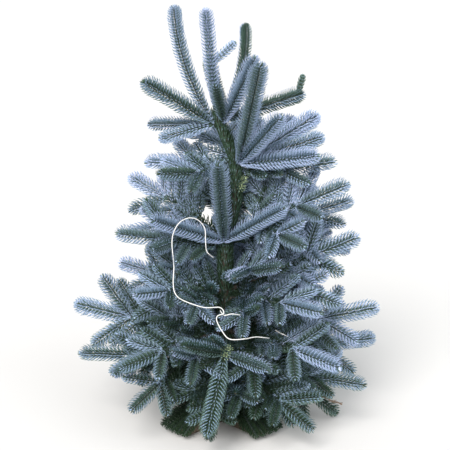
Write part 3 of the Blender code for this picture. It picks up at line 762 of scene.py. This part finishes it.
def brush(pile, shoot, tint, dice, bare=BARE_FOOT, coat=OUTER):
    """All the needles of one shoot: rows that lean forward and round off at its tip."""
    length = shoot.length()
    along = unit(shoot.tip - shoot.base)
    upward = unit(shoot.upward - along * (shoot.upward @ along))
    foot, angle = needle_feet(shoot, length, bare, coat, dice)
    reach, end, grows = needle_ends(shoot, length, foot, angle, coat, dice)
    foot, angle, reach, end = foot[grows], angle[grows], reach[grows], end[grows]
    rise, sway = np.cos(angle), np.sin(angle)
    outs = rise[:, None] * upward + sway[:, None] * np.cross(along, upward)
    roots = shoot.stem(foot / length) + outs * ROOTED * STEM_RADII[shoot.age]
    curl = NEEDLE_CURL * reach * np.abs(sway)
    tips = shoot.stem(np.minimum(end, length) / length) + along * np.maximum(end - length, 0)[:, None]
    tips = tips + outs * reach[:, None] + upward * curl[:, None]
    face_up, face_out = shoot.brush[4:6]
    facing = face_up * upward + face_out * outs
    # painted shade: the inner coat, and needles that point down, get greener and darker tints
    tints = shade_painted(tint, coat[2] + BENEATH_SHADE_STEPS * (rise < 0))
    if coat is INNER_SHADE_COAT:
        slips(pile, roots, tips, facing, tints)
    else:
        blades(pile, roots, tips, outs, along, facing, tints)


# ---- materials


def linear(colour):
    """A colour as it is seen, each part from 0 to 255, as the light it reflects (the sRGB curve)."""
    parts = (part / 255 for part in colour)
    light = (((part + 0.055) / 1.055) ** 2.4 if part > 0.04045 else part / 12.92 for part in parts)
    return (*light, 1.0)


class Paint:
    """A Principled material and the nodes that give it its detail."""

    def __init__(self, name, colour, roughness, specular=0.5):
        self.material = bpy.data.materials.new(name)
        self.material.use_nodes = True
        self.material.diffuse_color = linear(colour)
        self.nodes, self.links = self.material.node_tree.nodes, self.material.node_tree.links
        self.shader = self.nodes["Principled BSDF"]
        self.shader.inputs["Base Color"].default_value = linear(colour)
        self.shader.inputs["Roughness"].default_value = roughness
        self.shader.inputs["Specular IOR Level"].default_value = specular
        self.place = self.nodes.new("ShaderNodeTexCoord").outputs["Object"]

    def made(self, kind, output, values, links):
        """A node's output, with its inputs given or linked."""
        node = self.nodes.new("ShaderNode" + kind)
        for name, value in values.items():
            node.inputs[name].default_value = value
        for name, value in links.items():
            self.links.new(value, node.inputs[name])
        return node.outputs[output]

    def turned(self, degrees, scale):
        """The place, turned about the upright and scaled."""
        values = {"Rotation": (0, 0, math.radians(degrees)), "Scale": scale}
        return self.made("Mapping", "Vector", values, {"Vector": self.place})

    def noise(self, scale, detail=3.0, roughness=0.5, place=None, distortion=0.0):
        values = {"Scale": scale, "Detail": detail, "Roughness": roughness, "Distortion": distortion}
        return self.made("TexNoise", "Fac", values, {"Vector": place or self.place})

    def ramp(self, value, stops):
        """A value turned into colours by stops of (place, colour)."""
        node = self.nodes.new("ShaderNodeValToRGB")
        elements = node.color_ramp.elements
        while len(elements) < len(stops):
            elements.new(0.5)
        for element, (place, colour) in zip(elements, stops):
            element.position, element.color = place, linear(colour)
        self.links.new(value, node.inputs["Fac"])
        return node.outputs["Color"]

    def ranged(self, value, low, high):
        return self.made("MapRange", "Result", {"To Min": low, "To Max": high}, {"Value": value})

    def multiplied(self, one, other, by):
        """One colour multiplied by another, as far as a value says."""
        node = self.nodes.new("ShaderNodeMix")
        node.data_type, node.blend_type = "RGBA", "MULTIPLY"
        self.links.new(by, node.inputs["Factor"])
        self.links.new(one, node.inputs["A"])
        self.links.new(other, node.inputs["B"])
        return node.outputs["Result"]

    def colour(self, value):
        self.links.new(value, self.shader.inputs["Base Color"])

    def roughness(self, value, low, high):
        self.links.new(self.ranged(value, low, high), self.shader.inputs["Roughness"])

    def bump(self, value, distance, strength):
        normal = self.made("Bump", "Normal", {"Distance": distance, "Strength": strength}, {"Height": value})
        self.links.new(normal, self.shader.inputs["Normal"])


# paints of one grain: colour, roughness, grain, its span of roughness, relief, stops of colour
GRAINED = {
    "twig_bark": ((52, 66, 58), 0.75, (260.0, 4.0, 0.6), (0.62, 0.88), (0.0004, 0.5),
                  ((0.30, (34, 46, 42)), (0.55, (52, 66, 58)), (0.75, (78, 84, 66)))),
    "bud_resin": ((86, 88, 72), 0.7, (420.0, 3.0), (0.58, 0.82), (0.0003, 0.5),
                  ((0.30, (64, 62, 48)), (0.60, (86, 88, 72)), (0.80, (110, 112, 96)))),
    "dead_twig": ((140, 122, 104), 0.85, (300.0, 4.0, 0.6), (0.75, 0.95), (0.0005, 0.5),
                  ((0.30, (92, 74, 62)), (0.55, (146, 124, 104)), (0.78, (184, 168, 150)))),
    "cotton_twine": ((236, 234, 228), 0.85, (1500.0, 4.0, 0.6), (0.75, 0.95), (0.0002, 0.6),
                     ((0.30, (206, 203, 196)), (0.60, (240, 239, 235)))),
    "zinc_steel": ((176, 176, 172), 0.35, (700.0, 3.0), (0.24, 0.46), (0.0001, 0.4), None),
    "floor": ((216, 213, 209), 0.7, (6.0, 2.0), (0.64, 0.74), None, None),
}
# waxy needles: the same for a colour of their own, and how much they mirror
NEEDLES = (0.55, (900.0, 2.0), (0.48, 0.68), (0.0002, 0.25), None, 0.35)


def grained_paint(name, colour, roughness, grain, gloss, relief, stops, specular=0.5):
    """A paint whose grain varies its roughness, and its relief and colour where they are given."""
    paint = Paint(name, colour, roughness, specular)
    value = paint.noise(*grain)
    if stops:
        paint.colour(paint.ramp(value, stops))
    paint.roughness(value, *gloss)
    if relief:
        paint.bump(value, *relief)
    return paint.material


def grained(name):
    """One of the paints in the table."""
    return grained_paint(name, *GRAINED[name])


def steel_paint():
    steel = grained("zinc_steel")
    steel.node_tree.nodes["Principled BSDF"].inputs["Metallic"].default_value = 1.0
    return steel


def bark_paint():
    """Young fir bark: smooth grey brown with resin blisters and fine cross wrinkles, darker in the wrinkles,
    and darkened all over as painted shade of the crown's inside.
    """
    paint = Paint("bark", (104, 88, 74), 0.8)
    broad = paint.noise(38.0, 5.0, 0.6)
    wrinkles = paint.noise(60.0, 4.0, 0.7, paint.turned(0, (1, 1, 7)))
    # the tones are the bark's own grey brown darkened to about six tenths: painted shade
    tone = paint.ramp(broad, ((0.30, (46, 40, 34)), (0.52, (78, 70, 60)), (0.72, (108, 102, 92))))
    shade = paint.ramp(wrinkles, ((0.34, (120, 112, 104)), (0.60, (255, 255, 255))))
    paint.colour(paint.multiplied(tone, shade, paint.ranged(wrinkles, 0.5, 1.0)))
    paint.roughness(broad, 0.65, 0.92)
    paint.bump(wrinkles, 0.0012, 0.6)
    return paint.material


def wood_paint(name, degrees):
    """Sawn softwood: growth rings and fine fibres, drawn out along the board."""
    paint = Paint(name, (196, 160, 112), 0.65)
    lengthwise = paint.turned(degrees, (0.9, 14.0, 14.0))
    rings = paint.noise(9.0, 4.0, 0.55, lengthwise, 1.2)
    fibres = paint.noise(46.0, 6.0, 0.7, paint.turned(degrees, (1.0, 22.0, 22.0)))
    tone = paint.ramp(rings, ((0.30, (66, 56, 44)), (0.48, (92, 80, 64)), (0.66, (114, 102, 86))))
    shade = paint.ramp(fibres, ((0.32, (186, 178, 168)), (0.62, (255, 255, 255))))
    paint.colour(paint.multiplied(tone, shade, paint.ranged(fibres, 0.4, 0.9)))
    paint.roughness(fibres, 0.55, 0.78)
    paint.bump(fibres, 0.0006, 0.5)
    return paint.material


# ---- the pieces


def tint_of(shoot, dice):
    """A spray's colour: silvery where young and high, greener where old, and greener and darker low down and
    near the trunk as painted shade.
    """
    if shoot.brush is FRESH_BRUSH:
        return FRESH
    low = 1 - min(1.0, max(0.0, (shoot.tip[2] - GREEN_TO) / GREEN_OVER))
    place = AGE_TINT[shoot.age] + LOW_SHADE_TINT * low * low + MASS_TINT.get(shoot.mass, 0)
    if shoot.brush is FLAT:
        reach = math.hypot(shoot.tip[0] - trunk_at(shoot.tip[2])[0][0], shoot.tip[1])
        crown = max(CROWN_LEAST, CROWN_RADIUS * (1 - shoot.tip[2] / CROWN_TOP))
        place += SHADE_TINT * max(0.0, 1 - reach / (SHADED_PART * crown))
    place += dice.uniform(-TINT_VARIES, TINT_VARIES)
    return int(min(YOUNG_TINT if shoot.age == 0 else OLD, max(0, round(place))))


def foliage(shoots, paints):
    """Every mass's needles, mass after mass, in as few pieces as their size allows."""
    dice = random.Random(SEEDS["tints"])
    groups = []
    for seed, mass in enumerate(dict.fromkeys(shoot.mass for shoot in shoots)):
        own = Pile()
        grains = np.random.default_rng(seed)
        for shoot in shoots:
            if shoot.mass == mass:
                tint = tint_of(shoot, dice)
                brush(own, shoot, tint, grains)
                brush(own, shoot, tint, grains, coat=INNER_SHADE_COAT)
        if not groups or groups[-1][0].triangles() + own.triangles() > MOST_TRIANGLES:
            groups.append((Pile(), []))
        pile, held = groups[-1]
        pile.add(np.concatenate(own.points), np.concatenate(own.faces), np.concatenate(own.paints))
        held.append(mass)
    for pile, held in groups:
        nodes = ["needles_" + mass for mass in held]
        pile.piece(f"foliage_{held[0]}", paints, "needles", nodes)


def old_needles(limbs, paints):
    """Sparse old needles along the outer part of the limbs, and all round the upper trunk."""
    pile = Pile()
    grains = np.random.default_rng(SEEDS["old"])
    for limb in limbs:
        brush(pile, limb, LIMB_TINT, grains, bare=LIMB_BARE * limb.length())
    for count, height in enumerate(np.arange(*TRUNK_NEEDLES, TRUNK_RING)):
        centre, radius = trunk_at(height)
        turns = 2 * np.pi * (np.arange(TRUNK_COUNT) + 0.5 * (count % 2)) / TRUNK_COUNT
        turns = turns + grains.uniform(-TRUNK_TURN, TRUNK_TURN, TRUNK_COUNT)
        outs = np.stack([np.cos(turns), np.sin(turns), np.zeros_like(turns)], 1)
        rise = TRUNK_RING * grains.uniform(-0.5, 0.5, (TRUNK_COUNT, 1))
        roots = centre + outs * radius * TRUNK_ROOTED + UP * rise
        rise = TRUNK_UP * grains.uniform(*TRUNK_VARIES, (TRUNK_COUNT, 1))
        tips = roots + outs * TRUNK_OUT + UP * rise
        tint = TRUNK_TINTS[count % len(TRUNK_TINTS)]
        blades(pile, roots, tips, outs, UP, outs, tint)
    pile.piece("foliage_trunk_and_limbs", paints, "needles")


def twigs(shoots, paint):
    """The stems under the needles, each tapering from its foot to its tip."""
    pile = Pile()
    for shoot in shoots:
        parts = np.linspace(STEM_SUNK, 1, 5 if shoot.bow else 3)
        taper = np.linspace(*STEM_TAPER, len(parts))
        pile.add(*tube(shoot.stem(parts), STEM_RADII[shoot.age] * taper, 5))
    pile.piece("twigs", [paint], "bark", smooth=True)


def buds(shoots, paint):
    """A resinous winter bud at each young tip."""
    pile = Pile()
    parts = np.linspace(0, 1, 4)[:, None]
    radii = BUD_RADIUS * np.sin(np.pi * np.linspace(*BUD_PROFILE, 4))
    for shoot in shoots:
        if shoot.age == 0:
            along = unit(shoot.tip - shoot.base)
            pile.add(*tube(shoot.tip - along * BUD_BACK + parts * along * BUD_LENGTH, radii, 5))
    pile.piece("buds", [paint], "bark", smooth=True)


# bark: sides, scale and height of its relief
TRUNK_BARK = (32, 95.0, 0.0011)
LIMB_BARK = (12, 160.0, 0.0006)
BLISTERS = (0.12, 1.4)  # noise at which they rise, and how much
WRINKLES = (0.4, 5.0, 0.35)  # fineness round the stem and along it, and height
BARK_RING = 0.0035  # distance between the rings of the trunk's bark
BARK_UNDER = 0.0004  # how far it lies inside the source's trunk
COLLAR = 0.45  # how much thicker a limb is where it leaves the trunk
COLLAR_LENGTH = 0.007  # and how soon that fades
# rings of a limb's bark: how many at its collar, how far, where the others start, how many
LIMB_RINGS = (8, 0.020, 0.026, 26)


def bark_relief(spot, along, scale, height):
    """Relief in metres: resin blisters that bulge, and shallow cross wrinkles."""
    place = Vector(spot) * scale
    least, blistered = BLISTERS
    around, lengthwise, wrinkled = WRINKLES
    blister = max(0.0, noise.noise(place) - least)
    wrinkle = noise.noise(Vector((place.x * around, place.y * around, along * lengthwise * scale)))
    return height * (blistered * blister + wrinkled * wrinkle)


def travelled(line):
    """The distance along a line at each of its points."""
    return np.append(0, np.cumsum(np.linalg.norm(np.diff(line, axis=0), axis=1)))


def relief_tube(centres, radii, sides, scale, height):
    """A tube with the bark's relief on it."""
    turns = 2 * np.pi * np.arange(sides) / sides
    reach = np.zeros((len(centres), sides))
    for ring, (centre, radius, along) in enumerate(zip(centres, radii, travelled(centres))):
        for side, turn in enumerate(turns):
            spot = centre + radius * np.array([math.cos(turn), math.sin(turn), 0.0])
            reach[ring, side] = radius + bark_relief(spot, along, scale, height)
    return tube(centres, reach, sides)


def trunk_bark(paint):
    """The trunk with its blisters and wrinkles."""
    heights = np.append(np.arange(TRUNK[0][0], TRUNK[-1][0], BARK_RING), TRUNK[-1][0])
    centres, radii = zip(*(trunk_at(height) for height in heights))
    pile = Pile()
    pile.add(*relief_tube(np.array(centres), np.array(radii) - BARK_UNDER, *TRUNK_BARK))
    pile.piece("trunk_bark", [paint], "bark", ["trunk"], smooth=True)


def limb_bark(limbs, paint):
    """The limbs with their bark, each with a collar where it leaves the trunk."""
    pile = Pile()
    near, collar_end, start, far = LIMB_RINGS
    for limb in limbs:
        length = limb.length()
        out = trunk_at(limb.base[2])[1]
        places = np.linspace(0.5 * out, out + collar_end, near)
        places = np.append(places, np.linspace(out + start, length, far))
        centres = limb.base + places[:, None] * unit(limb.tip - limb.base)
        part = np.clip((places - out) / (length - out), 0, 1)
        collar = 1 + COLLAR * np.exp(-np.maximum(places - out, 0) / COLLAR_LENGTH)
        radii = (LIMB_ROOT + (LIMB_TIP - LIMB_ROOT) * part) * collar
        pile.add(*relief_tube(centres, radii, *LIMB_BARK))
    nodes = ["bough_" + limb.mass for limb in limbs]
    pile.piece("bough_bark", [paint], "bark", nodes, smooth=True)


DEAD_TIP = (0.293, -0.055, 0.058)  # a bare dead twig, low on the right
DEAD_FROM = (0.232, -0.045, 0.074)
DEAD_RADIUS = 0.0019
DEAD_TAPER = (1.2, 0.75)
DEAD_RINGS = 24
DEAD_CROOKS = ((0.0016, 17, 0), (0.0022, 5, 1))  # height, radians in all, start
DEAD_KNOTS = (0.22, 61)  # leaf scars: height, radians in all
# stumps of side twigs: place, side, length
DEAD_STUMPS = ((0.45, 1, 0.016), (0.62, -1, 0.013), (0.80, 1, 0.010), (0.93, -1, 0.008))
STUMP_HEADING = (0.9, 0.25)  # sideways and up for each part along
STUMP_TAPER = (0.7, 0.35)


def nearest_on(shoots, place):
    """The place on the shoots' stems that is nearest to another."""
    spots = []
    for shoot in shoots:
        way = shoot.tip - shoot.base
        spots.append(shoot.base + way * np.clip((place - shoot.base) @ way / (way @ way), 0, 1))
    return min(spots, key=lambda spot: np.linalg.norm(spot - place))


def dead_twig(shoots, paint):
    """A crooked bare twig with peg-like leaf scars and the stumps of side twigs."""
    pile = Pile()
    foot, tip = nearest_on(shoots, np.array(DEAD_FROM)), np.array(DEAD_TIP)
    parts = np.linspace(0, 1, DEAD_RINGS)
    along = unit(tip - foot)
    across = unit(np.cross(along, UP))
    crook = sum(height * np.sin(parts * waves + start) for height, waves, start in DEAD_CROOKS)
    centres = foot + parts[:, None] * (tip - foot) + crook[:, None] * UP
    knots = 1 + DEAD_KNOTS[0] * np.sin(parts * DEAD_KNOTS[1]) ** 2
    pile.add(*tube(centres, DEAD_RADIUS * knots * np.linspace(*DEAD_TAPER, DEAD_RINGS), 7))
    aside, up = STUMP_HEADING
    for place, side, length in DEAD_STUMPS:
        start = centres[int(place * (DEAD_RINGS - 1))]
        heading = unit(along + aside * side * across + up * UP)
        steps = np.linspace(0, length, 5)[:, None]
        pile.add(*tube(start + steps * heading, DEAD_RADIUS * np.linspace(*STUMP_TAPER, 5), 6))
    pile.piece("dead_twig", [paint], "bark", smooth=True)


TWINE_RADIUS = 0.0013
TWINE_LAY = 0.0058  # length of a turn
STRAND = 0.58  # radius of a strand, in radii of the twine
TWINE_CLEAR = 0.0035  # how far it lies off the needles' hulls
TWINE_LOOK = 0.004  # distance between its resting points
TWINE_STIFF = 8  # how many points on each side hold it up
TWINE_TUCKED = (0.016, 4)  # how deep its ends go, over how many points
TWINE_STEP = 0.0009
# hulls round the brushes: place along the stem, radius as a part of the needles' reach
HULL = ((0.0, 0.35), (0.25, 0.8), (0.85, 0.8), (1.05, 0.3))
# where the twine runs, as seen from the front: (sideways place, height) on the trunk's plane
TWINE_ROUTES = (
    ((-0.022, 0.415), (-0.038, 0.431), (-0.041, 0.459), (-0.043, 0.489), (-0.060, 0.510), (-0.082, 0.514),
     (-0.104, 0.502), (-0.118, 0.477), (-0.122, 0.447), (-0.118, 0.395), (-0.120, 0.350), (-0.115, 0.323),
     (-0.096, 0.306), (-0.046, 0.288), (-0.007, 0.288), (0.003, 0.273), (-0.012, 0.266), (-0.014, 0.253),
     (-0.002, 0.228), (0.017, 0.206), (0.053, 0.206), (0.082, 0.211), (0.115, 0.208)),
    ((-0.006, 0.280), (0.004, 0.268), (0.022, 0.271), (0.043, 0.268)),
    ((0.130, 0.229), (0.141, 0.222), (0.149, 0.218), (0.163, 0.211)),
)


def smooth_line(points, step):
    """A smooth line through points, with a point at about each step."""
    points = [np.array(point, float) for point in points]
    points = [2 * points[0] - points[1]] + points + [2 * points[-1] - points[-2]]
    line = []
    for before, one, other, after in zip(points, points[1:], points[2:], points[3:]):
        count = max(2, round(np.linalg.norm(other - one) / step))
        for t in np.arange(count) / count:
            line.append(0.5 * (2 * one + (other - before) * t
                               + (2 * before - 5 * one + 4 * other - after) * t * t
                               + (3 * one - before - 3 * other + after) * t ** 3))
    return np.array(line + [points[-2]])


def spread_out(values, reach, pick):
    """Each value replaced by what pick makes of it and its neighbours within reach."""
    padded = np.pad(values, reach, mode="edge")
    return np.array([pick(padded[k:k + 2 * reach + 1]) for k in range(len(values))])


def laid_on(surface, eye, route):
    """A line that rests on the foliage it crosses and spans the gaps, its ends tucked in."""
    ways = [(Vector((x, 0.0, height)) - eye).normalized() for x, height in smooth_line(route, TWINE_LOOK)]
    hits = [surface.ray_cast(eye, way) for way in ways]
    depths = np.array([hit[3] if hit[0] else np.nan for hit in hits])
    places = np.arange(len(ways))
    found = ~np.isnan(depths)
    depths = np.interp(places, places[found], depths[found])
    depths = spread_out(spread_out(depths, TWINE_STIFF, np.min), TWINE_STIFF, np.mean) - TWINE_CLEAR
    deep, tucked = TWINE_TUCKED
    ends = np.minimum(places, places[::-1])
    depths += deep * np.clip(1 - ends / tucked, 0, 1)
    points = [np.array(eye + way * depth) for way, depth in zip(ways, depths)]
    return smooth_line(points, TWINE_STEP)


def foliage_surface(shoots):
    """A surface round the needles of every shoot, for things that rest on them."""
    hulls = Pile()
    parts, radii = np.array(HULL).T
    for shoot in shoots:
        hulls.add(*tube(shoot.stem(parts), BRUSH_SPARE * shoot.width * radii, 6))
    return BVHTree.FromPolygons(np.concatenate(hulls.points).tolist(), np.concatenate(hulls.faces).tolist())


def twine(surface, paint):
    """Cut baling twine, left hanging in the front of the tree: two strands laid round each other."""
    pile = Pile()
    for route in TWINE_ROUTES:
        line = laid_on(surface, camera_place(), route)
        turns = 2 * math.pi * travelled(line) / TWINE_LAY
        along = units(np.gradient(line, axis=0))
        across = units(np.cross(along, FRONT + 0.01))
        other = np.cross(along, across)
        for strand in (0, math.pi):
            turn = (turns + strand)[:, None]
            centres = line + 0.5 * TWINE_RADIUS * (across * np.cos(turn) + other * np.sin(turn))
            pile.add(*tube(centres, np.full(len(line), STRAND * TWINE_RADIUS), 5))
    pile.piece("twine", [paint], smooth=True)


SCREW_PLACE = 0.0265  # from the trunk's axis, in the corners of the halving
SCREW_HEAD = 0.0042
SCREW_SUNK = 0.0001
SCREW_RINGS = ((0, 1.0), (0.0004, 0.98), (0.0008, 0.84), (0.0009, 0.60))  # rise, part of the head's radius
SCREW_TURN = 0.5  # of its cross, in radians
CROSS_REACH = 0.0021
CROSS_RADII = (0.0002, 0.00042, 0.00042, 0.0002)


def screws(paint):
    """Two flat-headed screws beside the trunk's foot, each with a cross on its head."""
    pile = Pile()
    rise, spread = np.array(SCREW_RINGS).T
    for side in (-1, 1):
        middle = np.array([side * SCREW_PLACE, 0.0, BOARD_THICK - SCREW_SUNK])
        pile.add(*tube(middle + rise[:, None] * UP, spread * SCREW_HEAD, 24))
        for turn in (SCREW_TURN, SCREW_TURN + math.pi / 2):
            bar = np.array([math.cos(turn), math.sin(turn), 0.0]) * CROSS_REACH
            ends = middle + UP * rise[-1] + np.linspace(-1, 1, 4)[:, None] * bar
            pile.add(*tube(ends, CROSS_RADII, 6))
    pile.piece("stand_screws", [paint])


# ---- the stage


CAMERA_DISTANCE = 2.7
CAMERA_RISE = 15.0
CAMERA_LENS = 90.0
LOOK_AT = (0.006, 0.0, 0.497)
FLOOR_RADIUS = 26.0
FLOOR_SIDES = 96
SKY = (0.90, 0.95, 1.0)
SKY_STRENGTH = 0.68
# the sky's brighter parts: where they are, strength, width in degrees, colour
LIGHTS = {
    "key": ((-0.8, -2.1, 1.9), 4.1, 38, (1.0, 0.99, 0.99)),
    "fill": ((1.6, -1.4, 1.0), 1.3, 60, (0.90, 0.95, 1.0)),
}


def camera_place():
    rise = math.radians(CAMERA_RISE)
    return Vector(LOOK_AT) + Vector((0, -math.cos(rise), math.sin(rise))) * CAMERA_DISTANCE


def camera():
    made = placed("camera", bpy.data.cameras.new("camera"))
    made.data.lens = CAMERA_LENS
    made.data.clip_end = 200.0
    made.location = camera_place()
    made.rotation_euler = (math.pi / 2 - math.radians(CAMERA_RISE), 0, 0)
    bpy.context.scene.camera = made


def sunlight(name, place, strength, width, colour):
    """Light from one part of the sky, as soft as its width makes it."""
    data = bpy.data.lights.new(name, "SUN")
    data.energy, data.angle, data.color = strength, math.radians(width), colour
    placed(name, data).rotation_euler = Vector(place).to_track_quat("Z", "Y").to_euler()


def daylight():
    """Overcast daylight: a bright cool sky, brighter high in front and to the left."""
    world = bpy.data.worlds.new("sky")
    world.use_nodes = True
    world.node_tree.nodes["Background"].inputs["Color"].default_value = (*SKY, 1.0)
    world.node_tree.nodes["Background"].inputs["Strength"].default_value = SKY_STRENGTH
    bpy.context.scene.world = world
    for name, light in LIGHTS.items():
        sunlight(name, *light)
    bpy.context.scene.view_settings.view_transform = "Standard"


def floor():
    turns = [2 * math.pi * k / FLOOR_SIDES for k in range(FLOOR_SIDES)]
    rim = [(FLOOR_RADIUS * math.cos(turn), FLOOR_RADIUS * math.sin(turn), 0.0) for turn in turns]
    mesh = bpy.data.meshes.new("floor")
    mesh.from_pydata(rim, [], [range(FLOOR_SIDES)])
    mesh.materials.append(grained("floor"))
    made = placed("floor", mesh)


def stand():
    """Gives the stand's two boards their wood, with the grain along each."""
    for node, degrees in (("stand_lower_board", -45.0), ("stand_upper_board", 45.0)):
        paint = wood_paint("wood_" + node, degrees)
        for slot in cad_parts[node].material_slots:
            slot.material = paint


def main():
    shoots, limbs, stubs = grown_tree()
    shoots = shoots + added_twigs(shoots, limbs) + foot_twigs() + short_shoots(stubs, limbs)
    shoots = clear_of_floor(shoots)
    paints = [grained_paint("needles_" + name, colour, *NEEDLES) for name, colour in TINTS.items()]
    foliage(shoots, paints)
    old_needles(limbs, paints)
    twigs(shoots, grained("twig_bark"))
    buds(shoots, grained("bud_resin"))
    bark = bark_paint()
    trunk_bark(bark)
    limb_bark(limbs, bark)
    dead_twig(shoots, grained("dead_twig"))
    twine(foliage_surface(shoots), grained("cotton_twine"))
    screws(steel_paint())
    stand()
    floor()
    daylight()
    camera()


main()
